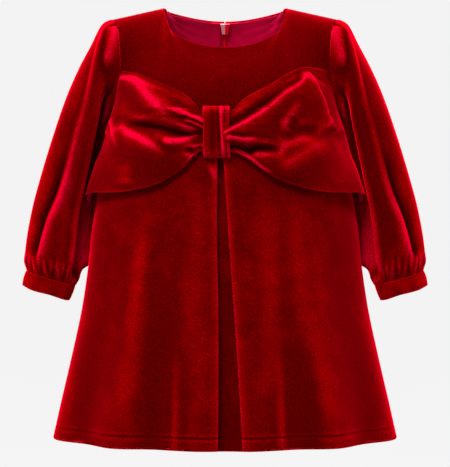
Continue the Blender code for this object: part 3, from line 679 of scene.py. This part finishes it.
def lining():
    """Smooth crimson lining with a fine weave."""
    made, nodes, links, shader = new_material("crimson_lining")
    where = nodes.new("ShaderNodeTexCoord").outputs["Object"]
    weave = noise(nodes, links, where, 2200, 2)
    cloud = noise(nodes, links, where, 60, 3)
    colour = ramp(nodes, links, cloud, [(0.3, (0.36, 0.0, 0.022)), (0.7, (0.46, 0.0, 0.032))])
    links.new(colour, shader.inputs["Base Color"])
    shader.inputs["Roughness"].default_value = 0.6
    shader.inputs["Specular IOR Level"].default_value = 0.04
    bumps(nodes, links, [(weave, 0.0002, 0.25), (cloud, 0.002, 0.3)], shader)
    return made


def tape_cloth():
    """The zip's woven tape."""
    made, nodes, links, shader = new_material("zip_tape_cloth")
    where = nodes.new("ShaderNodeTexCoord").outputs["Object"]
    weave = noise(nodes, links, where, 2600, 2)
    colour = ramp(nodes, links, weave, [(0.3, (0.55, 0.0, 0.012)), (0.7, (0.75, 0.0, 0.02))])
    links.new(colour, shader.inputs["Base Color"])
    shader.inputs["Roughness"].default_value = 0.8
    shader.inputs["Specular IOR Level"].default_value = 0.05
    bumps(nodes, links, [(weave, 0.0002, 0.4)], shader)
    return made


def enamel():
    """The zip's enamel: its left half is painted pale pink as a painted glint, its right half is a plain
    bright red.
    """
    made, nodes, links, shader = new_material("zip_enamel")
    where = nodes.new("ShaderNodeTexCoord").outputs["Object"]
    wear = noise(nodes, links, where, 700, 3)
    split = nodes.new("ShaderNodeSeparateXYZ")
    links.new(where, split.inputs["Vector"])
    side = nodes.new("ShaderNodeMath")
    side.operation = "MULTIPLY_ADD"
    links.new(split.outputs["X"], side.inputs[0])
    side.inputs[1].default_value = 150.0
    side.inputs[2].default_value = 0.5
    # Left half painted pale pink as a painted glint, right half plain red.
    halves = [(0.44, (0.72, 0.24, 0.26)), (0.56, (0.80, 0.0, 0.015))]
    colour = ramp(nodes, links, side.outputs["Value"], halves)
    links.new(colour, shader.inputs["Base Color"])
    shader.inputs["Roughness"].default_value = 0.28
    bumps(nodes, links, [(wear, 0.0002, 0.15)], shader)
    return made


VELVET = velvet()
LINING = lining()
TAPE = tape_cloth()
ENAMEL = enamel()


def faces_of(rows, columns, closed):
    """The four corners of every face of a grid, whose last column joins its first where it is closed."""
    i, j = np.meshgrid(np.arange(rows - 1), np.arange(columns if closed else columns - 1), indexing="ij")
    k = (j + 1) % columns
    below = (i + 1) * columns
    return np.stack([i * columns + j, below + j, below + k, i * columns + k], -1).reshape(-1, 4)


def add_sheet(node, grid, wall, material, closed=False, mottle_and_painted_marks=0.0, name=None):
    """Makes a grid of points into a cloth piece that stands for a node, with a wall on its inner side.

    Painted light is kept at each point for the velvet: painted highlights on ridges and painted shade in
    valleys, with any painted marks added.
    """
    name = name or "cloth_" + node
    rows, columns = grid.shape[:2]
    corners = faces_of(rows, columns, closed).reshape(-1)
    mesh = bpy.data.meshes.new(name)
    mesh.vertices.add(rows * columns)
    mesh.vertices.foreach_set("co", grid.astype(np.float32).reshape(-1))
    mesh.loops.add(len(corners))
    mesh.loops.foreach_set("vertex_index", corners.astype(np.int32))
    mesh.polygons.add(len(corners) // 4)
    mesh.polygons.foreach_set("loop_start", np.arange(0, len(corners), 4, dtype=np.int32))
    mesh.update(calc_edges=True)
    mesh.shade_smooth()
    mesh.materials.append(material)
    # The painted light level: painted highlights and painted shade at each point.
    painted_light = mesh.attributes.new("painted_light", "FLOAT", "POINT")
    painted_light_at_points = np.clip(painted_bend_light(grid, closed) + mottle_and_painted_marks, -1, 1)
    painted_light.data.foreach_set("value", painted_light_at_points.astype(np.float32).reshape(-1))
    made = bpy.data.objects.new(name, mesh)
    bpy.context.scene.collection.objects.link(made)
    if wall:
        solid = made.modifiers.new("wall", "SOLIDIFY")
        solid.thickness, solid.offset = wall, -1
    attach(made, "dress")
    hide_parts(node)
    return made


def spaced(*stops):
    """Rows spaced evenly between stops: start, then (stop, how many rows) for each stretch."""
    rows = [np.array([stops[0]])]
    start = stops[0]
    for stop, count in stops[1:]:
        rows.append(np.linspace(start, stop, count + 1)[1:])
        start = stop
    return np.concatenate(rows)


def front_bodice():
    """The bodice front: the panel from the neckline and shoulders down to the seam under the bow."""
    across = np.linspace(-1, 1, 181)
    down = spaced(0, (0.012, 1), (0.10, 9), (1, 60), (z_to_down(EMPIRE_Z), 5))
    grid = panel_point(FRONT, across[None, :], down[:, None])
    neckline = 1 - smooth((np.abs(across) - NECKLINE[0]) / NECKLINE[1])
    grid = turned_at_top(grid, 0.0002 + 0.0008 * neckline, 0.001 + 0.008 * neckline)
    # The whole bodice is painted a little darker, as painted shade.
    made = add_sheet("front_bodice", grid, VELVET_WALL, VELVET, mottle_and_painted_marks=-0.13)


def pleat_path(z, count):
    """Half of the pleat's path at each height: fold edge, return, inner fold and underlay to the middle."""
    deep = through(PLEAT, "underlay", z)[:, None]
    middle = (through(PLEAT, "right", z) - through(PLEAT, "left", z))[:, None] / 2
    one = np.ones_like(deep)
    r, back, bend = FOLD_RADIUS, deep - INNER_FOLD, INNER_FOLD / 2
    edge = np.linspace(0, math.pi, 11)
    along = [one * np.sin(edge) * r, one * np.linspace(0, -PLEAT_WIDTH, 9)[1:-1]]
    share = np.linspace(0, 1, 9)[1:-1]
    depth = [one * (r - np.cos(edge) * r), 2 * r + (back - 2 * r) * share]
    inner = np.linspace(0, math.pi, 7)
    along.append(one * (-PLEAT_WIDTH - np.sin(inner) * bend))
    depth.append(back + bend - np.cos(inner) * bend)
    share = np.linspace(0, 1, count)[1:]
    along.append(-PLEAT_WIDTH + (middle + PLEAT_WIDTH) * share)
    depth.append(deep * np.ones_like(share))
    return np.concatenate(along, axis=1), np.concatenate(depth, axis=1)


def skirt_front():
    """The skirt front: side, fold edge, return, underlay, return, fold edge, side, as one folded cloth."""
    top_z = EMPIRE_Z - GAP
    z = spaced(top_z, (-0.200, 16), (-0.440, 70), *HEM_ROWS)
    half = through(SECTIONS, "half_width", z)[:, None]
    along, deep = pleat_path(z, 12)
    stitched = STITCH_DEPTH * bump(z - STITCH_Z, STITCH_WIDTH)[:, None]
    halves, mottle_and_painted_marks = [], []
    for side, column in ((-1, "left"), (1, "right")):
        edge = through(PLEAT, column, z)[:, None]
        end = np.arcsin(edge * side / half) / (math.pi / 2)
        plain = (1 + (end - 1) * np.linspace(0, 1, 96)[None, :-1]) * side
        fold = np.arcsin((edge - side * along) / half) / (math.pi / 2)
        across = np.concatenate([plain, fold], axis=1)
        inward = np.concatenate([np.zeros(plain.shape), deep], axis=1)
        base = panel_point(FRONT, across, z_to_down(z)[:, None])
        height = crease_height(base[..., 0], base[..., 2], SKIRT_CREASES)
        height = height * smooth((1 - np.abs(across)) / 0.08)
        # Painted highlights and painted shade along the skirt's folds, kept off the pleat's inner cloth.
        mottle_and_painted_marks.append(crease_height(base[..., 0], base[..., 2], SKIRT_PAINTED_LIGHT) * (inward < 0.002))
        shallow = np.where(inward > 0.004, 0.0, 1.0)
        halves.append(moved_out(FRONT, across, z_to_down(z)[:, None], height - inward - stitched * shallow))
    grid = np.concatenate([halves[0][:, :-1], halves[1][:, ::-1]], axis=1)
    mottle_and_painted_marks = np.concatenate([mottle_and_painted_marks[0][:, :-1], mottle_and_painted_marks[1][:, ::-1]], axis=1)
    grid = turned_under(grid, HEM_RADIUS, HEM_TURNING)
    mottle_and_painted_marks = with_edges(mottle_and_painted_marks, grid.shape[0])
    made = add_sheet("skirt_front", grid, VELVET_WALL, VELVET, mottle_and_painted_marks=mottle_and_painted_marks)


def keep_slit(grid, sign, half):
    """Sets the centre edge of a back piece beside the zip or the centre seam."""
    column = -1 if sign > 0 else 0
    grid[:, column, 0] = sign * half
    return grid


def back_panel(name):
    """Half of the back, from neckline and shoulder to the hem, with its centre edge beside the zip."""
    sign = 1 if name == "right" else -1
    across = np.linspace(1, 0.002, 96) * sign
    across = across if sign > 0 else across[::-1]
    z = spaced(UNDERARM_Z, (-0.440, 78), *HEM_ROWS)
    down = np.concatenate([spaced(0, (0.012, 1), (0.10, 8), (1, 44))[:-1], z_to_down(z)])
    stitched = STITCH_DEPTH * bump(down_to_z(down) - STITCH_Z, STITCH_WIDTH)
    grid = moved_out(BACK, across[None, :], down[:, None], -stitched[:, None])
    grid = keep_slit(grid, sign, np.where(down < ZIP_END + 0.02, SLIT_HALF, 0.0))
    neckline = 1 - smooth((np.abs(across) - NECKLINE[0]) / NECKLINE[1])
    grid = turned_at_top(grid, 0.0002 + 0.0004 * neckline, 0.001 + 0.001 * neckline)
    grid = turned_under(grid, HEM_RADIUS, HEM_TURNING)
    # A painted highlight on the top rows of the back, lightening the turned neck edge.
    painted_neck_edge_light = (1 - smooth(down / 0.025))[:, None] * np.full(across.shape, 0.8)
    painted_neck_edge_light = with_edges(painted_neck_edge_light, grid.shape[0], 10)
    made = add_sheet("back_" + name, grid, VELVET_WALL, VELVET, mottle_and_painted_marks=painted_neck_edge_light)


def back_lining(name):
    """The lining inside the back of the neck, with small slack ripples across it."""
    sign = 1 if name == "right" else -1
    across = np.linspace(1, 0, 50)
    across = across if sign > 0 else across[::-1]
    down = np.linspace(0.007, 0.75, 62)
    a, d = np.meshgrid(across, down)
    a = sign * (0.02 + a * (0.335 + 0.40 * smooth(d / 0.32)))
    slack = 0.00022 * np.sin(d * 62 + 5 * np.abs(a)) * smooth((0.5 - d) / 0.2) * np.sin(np.abs(a) * 4) ** 2
    grid = moved_out(BACK, a, d, -(WALL + TAPE_WALL + 2 * LAYER) - 0.0004 + slack)
    grid[..., 2] = np.minimum(grid[..., 2], LINING_TOP_Z)
    grid = keep_slit(grid, sign, LINING_EDGE_X)
    made = add_sheet("back_lining_" + name, grid, NECK_LINING_WALL, LINING)


def zip_tape(name):
    """One side of the zip's tape, inside the back and beside the slit."""
    sign = 1 if name == "right" else -1
    down = np.linspace(0.012, ZIP_END, 90)
    across = np.array([0.06, 0.045, 0.03, 0.015, 0.004]) * sign
    across = across if sign > 0 else across[::-1]
    grid = moved_out(BACK, *np.meshgrid(across, down), -(WALL + LAYER))
    grid = keep_slit(grid, sign, SLIT_HALF)
    made = add_sheet("zip_tape_" + name, grid, TAPE_WALL, TAPE)


def ring_point(rows, along, turn, sign):
    """A point of a sleeve or cuff: turn runs from the outer line through the front to the inner line."""
    value = {c: through(rows, c, along) for c in Ring._fields[1:]}
    p, q = np.cos(turn), -np.sin(turn)
    middle_x = (value["outer_x"] + value["inner_x"]) / 2
    middle_z = (value["outer_z"] + value["inner_z"]) / 2
    half_x = (value["outer_x"] - value["inner_x"]) / 2
    half_z = (value["outer_z"] - value["inner_z"]) / 2
    size = np.maximum(np.hypot(half_x, half_z), 1e-6)
    lean = -value["skew"] * q / size
    x = middle_x + half_x * (p + lean)
    z = middle_z + half_z * (p + lean)
    y = value["centre_y"] + value["half_depth"] * q
    return np.stack([sign * x, y, z], axis=-1)


def armhole_ring(turn, sign):
    """The armhole's edge, from the shoulder end down the front and up the back."""
    front = turn <= math.pi
    down = np.where(front, turn / math.pi, 2 - turn / math.pi)
    ends = np.full(turn.shape, float(sign))
    edge = np.where(front[..., None], panel_point(FRONT, ends, down), panel_point(BACK, ends, down))
    low = bump(turn - math.pi, 0.9)[..., None]
    return edge + np.array([sign, 0, 0]) * (2 * GAP + 4 * GAP * low)


def sleeve(name):
    """A sleeve: rings from the armhole to the cuff, with creases and gathers along each ring's spokes.

    The last ring is tucked into the cuff.
    """
    sign = 1 if name == "right" else -1
    turn = np.linspace(0, 2 * math.pi, 181)[None, :-1]
    along = spaced(0, (0.10, 12), (0.86, 72), (1.0, 24))[:, None]
    ring = ring_point(SLEEVE, np.maximum(along, 0.04), turn, sign)
    start = smooth(along / 0.06)[..., None]
    ring = armhole_ring(turn, sign) * (1 - start) + ring * start
    spoke = unit(ring - ring.mean(axis=1, keepdims=True))
    u = np.degrees(turn) * TURN_LENGTH + 0 * along
    v = along * SLEEVE_LENGTH + 0 * turn
    whole_turn = 360 * TURN_LENGTH
    # Painted highlights and painted shade on the sleeve, the left sleeve's front painted lighter and the
    # right sleeve's darker.
    marks = SLEEVE_PAINTED_LIGHT + (SLEEVE_RIGHT_PAINTED_SHADE if name == "right" else SLEEVE_LEFT_PAINTED_HIGHLIGHT)
    height, mottle_and_painted_marks = (sum(crease_height(u + shift, v, [
        c._replace(path=[(t * TURN_LENGTH, a * SLEEVE_LENGTH) for a, t in c.path]) for c in creases
    ]) for shift in (-whole_turn, 0, whole_turn)) for creases in (SLEEVE_CREASES, marks))
    for g in GATHERS:
        share = np.clip((along - g.start) / (1 - g.start), 0, 1)
        centre = g.start_turn + (g.turn - g.start_turn) * share
        away = (np.degrees(turn) - centre + 180) % 360 - 180
        height = height + g.height * share**0.9 * bump(away, 1.5 + 3.0 * share)
    height = height * smooth(along / 0.02) * (0.15 + 0.85 * smooth((1 - along) / 0.025))
    grid = ring + spoke * height[..., None]
    tuck = ring_point(CUFF, np.full((1, 1), 0.2), turn, sign)
    middle = tuck.mean(axis=1, keepdims=True)
    grid = np.concatenate([grid, middle + (tuck - middle) * 0.93])
    mottle_and_painted_marks = with_edges(mottle_and_painted_marks, grid.shape[0])
    if sign > 0:
        grid, mottle_and_painted_marks = grid[:, ::-1], mottle_and_painted_marks[:, ::-1]
    made = add_sheet("sleeve_" + name, grid, VELVET_WALL, VELVET, True, mottle_and_painted_marks)


def cuff(name):
    """A cuff band: rings about the wrist, a little fuller in the middle, with its lower edge turned under."""
    sign = 1 if name == "right" else -1
    turn = np.linspace(0, 2 * math.pi, 145)[None, :-1]
    along = spaced(0, (1, 22))[:, None]
    ring = ring_point(CUFF, along, turn, sign)
    spoke = unit(ring - ring.mean(axis=1, keepdims=True))
    wave = 0.0003 * np.sin(5 * turn + 1) + 0.0003 * np.sin(9 * turn)
    ring = ring + spoke * (0.0006 * np.sin(math.pi * along) + wave * along)[..., None]
    ring[..., 2] += 0.0005 * np.sin(4 * turn + 0.6) * along**2
    grid = ring[:, ::-1] if sign > 0 else ring
    grid = turned_under(turned_at_top(grid, 0.0005, 0.001, True), 0.0009, 0.010, True)
    made = add_sheet("cuff_" + name, grid, VELVET_WALL, VELVET, True)


def wing_grid(stations, sign, creases, painted_light_marks, rows, columns):
    """Points of one wing and its painted light marks: rows from top edge to bottom edge, columns from knot to
    side seam.

    Each point stands off the dress by a cubic blend of four offsets from top to bottom, plus its creases.
    """
    last = stations[-1].across
    reach, share = np.meshgrid(np.linspace(stations[0].across, last, columns), np.linspace(0, 1, rows))
    top = through(stations, "top", reach)
    bottom = through(stations, "bottom", reach)
    z = top + (bottom - top) * share
    off = np.zeros(share.shape)
    weights = ((1 - share) ** 3, 3 * (1 - share) ** 2 * share, 3 * (1 - share) * share**2, share**3)
    for column, weight in zip(("off_top", "off_upper", "off_lower", "off_bottom"), weights):
        off = off + through(stations, column, reach) * weight
    below = smooth((share - 0.36) / 0.22)
    reach = reach - (1 - below) * ARMHOLE_CLEAR * np.clip(reach / last, 0, 1) ** 4
    down = down_at(FRONT, reach * sign, z)
    base = panel_point(FRONT, reach * sign, down)
    edges = smooth(share / 0.07) * smooth((1 - share) / 0.07)
    height = crease_height(base[..., 0], z, creases) * (0.15 + 0.85 * edges)
    grid = moved_out(FRONT, reach * sign, down, np.maximum(off + height, 0.0016) + WALL)
    return grid, crease_height(base[..., 0], z, painted_light_marks)


def wing(name):
    """A bow wing: velvet with its long edges turned under, and the lining that shows at its lower corner."""
    right = name == "right"
    sign, stations = (1, WING_RIGHT) if right else (-1, WING_LEFT)
    creases = BOW_RIGHT_CREASES if right else BOW_LEFT_CREASES
    painted_light_marks = BOW_RIGHT_PAINTED_LIGHT if right else BOW_LEFT_PAINTED_LIGHT
    # The wing's points come with its painted highlights and painted shade.
    outer, mottle_and_painted_marks = wing_grid(stations, sign, creases, painted_light_marks, 120, 150)
    drops = [0] * 7 + [0.0010, 0.0035, 0.0088]
    low = [s._replace(bottom=s.bottom - drop) for s, drop in zip(stations, drops)]
    inner, _ = wing_grid(low, sign, creases, [], 60, 75)
    if not right:
        outer, mottle_and_painted_marks, inner = outer[:, ::-1], mottle_and_painted_marks[:, ::-1], inner[:, ::-1]
    inner = inner - outward(inner) * 0.0026
    grid = turned_under(turned_at_top(outer, 0.0008, 0.004), 0.0009, 0.004)
    mottle_and_painted_marks = with_edges(mottle_and_painted_marks, grid.shape[0], 10)
    made = add_sheet("bow_wing_" + name, grid, BOW_WALL, VELVET, mottle_and_painted_marks=mottle_and_painted_marks)
    made = add_sheet("bow_lining_" + name, inner[1:-1], BOW_LINING_WALL, LINING)


def knot():
    """The band round the bow's middle: an arch across its width that closes to the dress top and bottom."""
    across = np.linspace(-1, 1, 71)
    along = np.sin(np.linspace(-math.pi / 2, math.pi / 2, 90))
    u, v = np.meshgrid(across, along)
    x = KNOT_CENTRE_X + KNOT_HALF_WIDTH * u + 0.0006 * v - 0.0004 * np.sin(2.6 * v + u)
    z = (KNOT_TOP_Z + KNOT_BOTTOM_Z) / 2 - v * (KNOT_TOP_Z - KNOT_BOTTOM_Z) / 2
    half = through(SECTIONS, "half_width", z)
    reach = np.arcsin(x / half) / (math.pi / 2)
    arch = (1 - np.abs(v) ** 6) ** 0.5
    lean = u - 0.05 * v - 0.03 * np.sin(3 * v)
    folds = 0.0013 * bump(lean - 0.40, 0.15) - 0.0010 * bump(lean - 0.66, 0.05)
    folds = folds - 0.0010 * bump(u + 0.25, 0.35)
    edge = -0.0012 * (1 - smooth((1 - np.abs(u)) / 0.12))
    rise = KNOT_FOOT + (KNOT_RISE - KNOT_FOOT - 0.0012 * u**2 + folds + edge) * arch
    grid = moved_out(FRONT, reach, down_at(FRONT, reach, z), rise)
    # Painted light on the knot: a painted highlight along its fold and at both sides, the rest painted a
    # little darker.
    mottle_and_painted_marks = 0.36 * bump(lean - 0.40, 0.10) - 0.12
    mottle_and_painted_marks = mottle_and_painted_marks + 0.2 * bump(lean - 0.94, 0.05) + 0.2 * bump(u + 0.95, 0.05)
    grid = turned_at_side(turned_at_side(grid, 0.0007, 0.004, True), 0.0007, 0.004, False)
    mottle_and_painted_marks = with_edges(mottle_and_painted_marks.T, grid.shape[1], 10).T
    made = add_sheet("bow_knot", grid, BOW_WALL, VELVET, mottle_and_painted_marks=mottle_and_painted_marks)


def zip_coil():
    """The zip's coil: a ribbon down the middle with its teeth raised at every 1.2 mm."""
    down = np.linspace(0.10, ZIP_END, 700)
    length = down * 0.175
    across = np.linspace(-1, 1, 9)
    centre = moved_out(BACK, np.zeros(down.shape), down, -(WALL + TAPE_WALL + 2 * LAYER))
    inward = -panel_normal(BACK, np.zeros(down.shape), down)
    teeth = 0.0003 * np.sin(length[:, None] / 0.0012 * 2 * math.pi + np.sign(across)[None, :] * 1.5)
    crown = 0.0006 * np.sqrt(np.maximum(1 - across**2, 0)) + teeth * (np.abs(across) > 0.1)
    grid = centre[:, None, :] + 0.0013 * across[None, :, None] * np.array([-1, 0, 0])
    grid = grid + inward[:, None, :] * (crown[..., None] + 0.0003)
    add_sheet("zip_coil", grid, 0.0, TAPE, name="zip_coil_teeth")


def stage():
    """A pale floor that rises into a round wall, lights and the camera."""
    flat, curve, floor_z = 2.6, 1.6, -0.62
    radius = spaced(0.0, (flat, 24), (flat + curve, 20))
    rise = np.where(radius > flat, curve - np.sqrt(np.maximum(curve**2 - (radius - flat) ** 2, 0)), 0.0)
    radius = np.append(radius, [flat + curve] * 2)
    height = np.append(rise, [2.6, 4.6]) + floor_z
    turn = np.linspace(0, 2 * math.pi, 97)[None, :-1]
    across, deep = radius[:, None] * np.cos(turn), radius[:, None] * np.sin(turn)
    grid = np.stack(np.broadcast_arrays(across, deep, height[:, None]), -1)
    rows, columns = grid.shape[:2]
    faces = faces_of(rows, columns, True)
    mesh = bpy.data.meshes.new("floor")
    mesh.from_pydata(grid.reshape(-1, 3).tolist(), [], faces.tolist())
    mesh.shade_smooth()
    floor = bpy.data.objects.new("floor", mesh)
    bpy.context.scene.collection.objects.link(floor)
    made, nodes, links, shader = new_material("pale_paper")
    shader.inputs["Base Color"].default_value = (0.012, 0.012, 0.012, 1)
    shader.inputs["Roughness"].default_value = 0.9
    shader.inputs["Specular IOR Level"].default_value = 0.0
    shader.inputs["Emission Color"].default_value = (1, 1, 1, 1)
    shader.inputs["Emission Strength"].default_value = 0.878
    mesh.materials.append(made)
    floor.visible_diffuse = False
    floor.visible_glossy = False

    def light(name, place, size, power, aim):
        data = bpy.data.lights.new(name, "AREA")
        data.shape, data.size, data.energy = "DISK", size, power
        made = bpy.data.objects.new(name, data)
        made.location = place
        made.rotation_euler = (Vector(aim) - Vector(place)).to_track_quat("-Z", "Y").to_euler()
        bpy.context.scene.collection.objects.link(made)

    light("key_above_front", (-0.5, -1.3, 1.5), 0.9, 80, (0, 0, -0.2))
    light("rim_left", (-1.7, 0.2, 0.1), 1.0, 30, (0, 0, -0.25))
    light("rim_right", (1.7, 0.2, 0.1), 1.0, 30, (0, 0, -0.25))
    light("top", (0, 0.3, 1.6), 1.0, 40, (0, 0, -0.2))
    world = bpy.data.worlds.new("soft_room")
    world.use_nodes = True
    world.node_tree.nodes["Background"].inputs["Color"].default_value = (1, 1, 1, 1)
    world.node_tree.nodes["Background"].inputs["Strength"].default_value = 0.9
    bpy.context.scene.world = world

    lens = bpy.data.cameras.new("camera")
    lens.sensor_width = 36
    lens.lens = 110.64
    camera = bpy.data.objects.new("camera", lens)
    camera.location = (0, -1.55, -0.2425)
    camera.rotation_euler = (math.pi / 2, 0, 0)
    bpy.context.scene.collection.objects.link(camera)
    bpy.context.scene.camera = camera
    bpy.context.scene.view_settings.view_transform = "Standard"


front_bodice()
skirt_front()
for name in ("left", "right"):
    back_panel(name)
    back_lining(name)
    sleeve(name)
    cuff(name)
    wing(name)
    zip_tape(name)
knot()
zip_coil()
for node in ("zip_slider", "zip_pull_tab"):
    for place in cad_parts[node].material_slots:
        place.material = ENAMEL
stage()
